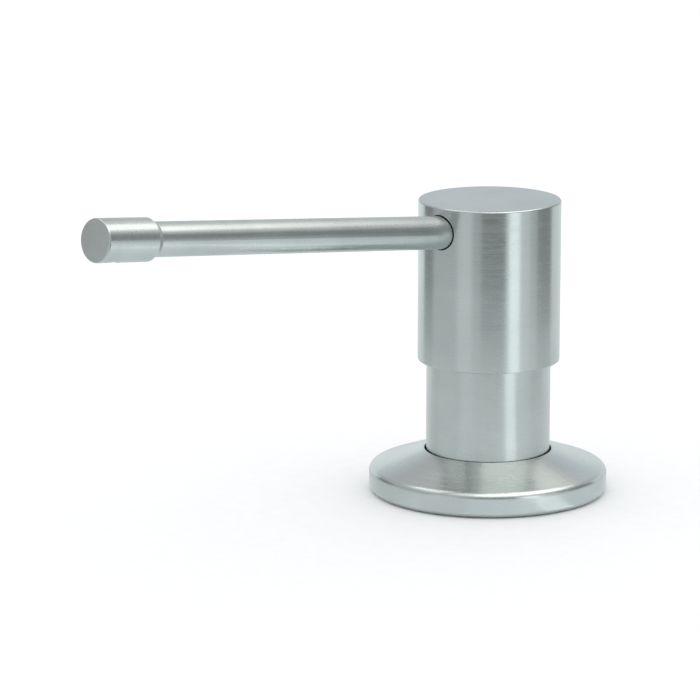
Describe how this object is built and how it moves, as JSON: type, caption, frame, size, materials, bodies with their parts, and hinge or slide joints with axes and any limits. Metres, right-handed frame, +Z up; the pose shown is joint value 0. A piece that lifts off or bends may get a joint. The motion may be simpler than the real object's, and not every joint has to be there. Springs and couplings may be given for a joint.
{
  "type": "soap pump dispenser",
  "caption": "Deck-mounted soap pump: round metal head with a straight spout over a collar and a conical flange; threaded shank, wing nut and screw-on bottle below the deck.",
  "frame": {"origin": "on the pump axis, in the plane of the deck under the flange", "axes": "+Z up along the pump axis; the spout points towards -Y"},
  "size_m": [0.064, 0.1483, 0.3056],
  "materials": {
    "steel": "brushed stainless steel",
    "hard_steel": "bright spring and ball steel",
    "zinc_steel": "zinc-plated",
    "rubber": "matt black rubber",
    "white_plastic": "moulded white acetal and polypropylene",
    "soft_plastic": "soft natural polyethylene",
    "tube_plastic": "clear polyethylene tube",
    "dark_plastic": "moulded black plastic",
    "bottle_plastic": "natural translucent polyethylene"
  },
  "bodies": {
    "head": {"pump_head": "steel", "head_core": "white_plastic", "stem_seal": "rubber", "spout_tube": "steel", "spout_liner": "tube_plastic", "spout_seal": "rubber", "spout_screw": "hard_steel", "spout_tip": "steel"},
    "base": {"body_tube": "steel", "guide_ring": "white_plastic", "flange": "steel", "base_gasket": "rubber", "shank": "dark_plastic"},
    "pump": {"pump_chamber": "white_plastic", "chamber_gasket": "rubber", "pump_collar": "white_plastic", "stem_wiper": "rubber", "return_spring": "hard_steel", "ball_cage": "white_plastic", "dip_tube": "tube_plastic"},
    "plunger": {"piston_stem": "white_plastic", "stem_plug": "white_plastic"},
    "piston": {"piston": "soft_plastic"},
    "inlet_ball": {"inlet_ball": "hard_steel"},
    "washers": {"deck_washer": "rubber", "slip_washer": "zinc_steel"},
    "nut": {"mounting_nut": "dark_plastic"},
    "bottle_seal": {"neck_seal": "rubber"},
    "bottle": {"bottle": "bottle_plastic"}
  },
  "joints": [
    {"name": "refill_lift", "type": "slide", "parent": "base", "child": "pump", "axis": [0, 0, 1], "range_m": [0, 0.26]},
    {"name": "pump_press", "type": "slide", "parent": "pump", "child": "plunger", "axis": [0, 0, 1], "range_m": [-0.015, 0], "stiffness_N_per_m": 600, "springref_m": 0.01, "deforming": ["return_spring"]},
    {"name": "spout_swivel", "type": "hinge", "parent": "plunger", "child": "head", "pos_m": [0, 0, 0.05925], "axis": [0, 0, 1], "continuous": true},
    {"name": "piston_valve", "type": "slide", "parent": "plunger", "child": "piston", "axis": [0, 0, 1], "range_m": [0, 0.0012]},
    {"name": "inlet_ball_lift", "type": "slide", "parent": "pump", "child": "inlet_ball", "axis": [0, 0, 1], "range_m": [0, 0.0015]},
    {"name": "nut_travel", "type": "slide", "parent": "base", "child": "washers", "axis": [0, 0, 1], "range_m": [-0.008, 0.019]},
    {"name": "nut_spin", "type": "hinge", "parent": "washers", "child": "nut", "pos_m": [0, 0, -0.0252], "axis": [0, 0, 1], "range_deg": [-1440, 3420]},
    {"name": "bottle_drop", "type": "slide", "parent": "base", "child": "bottle_seal", "axis": [0, 0, 1], "range_m": [-0.018, 0]},
    {"name": "bottle_spin", "type": "hinge", "parent": "bottle_seal", "child": "bottle", "pos_m": [0, 0, -0.061], "axis": [0, 0, 1], "range_deg": [-1620, 0]}
  ],
  "couplings": [
    {"joint": "nut_travel", "follows": "nut_spin", "m_per_rad": 0.00031831},
    {"joint": "bottle_drop", "follows": "bottle_spin", "m_per_rad": 0.00063662}
  ]
}
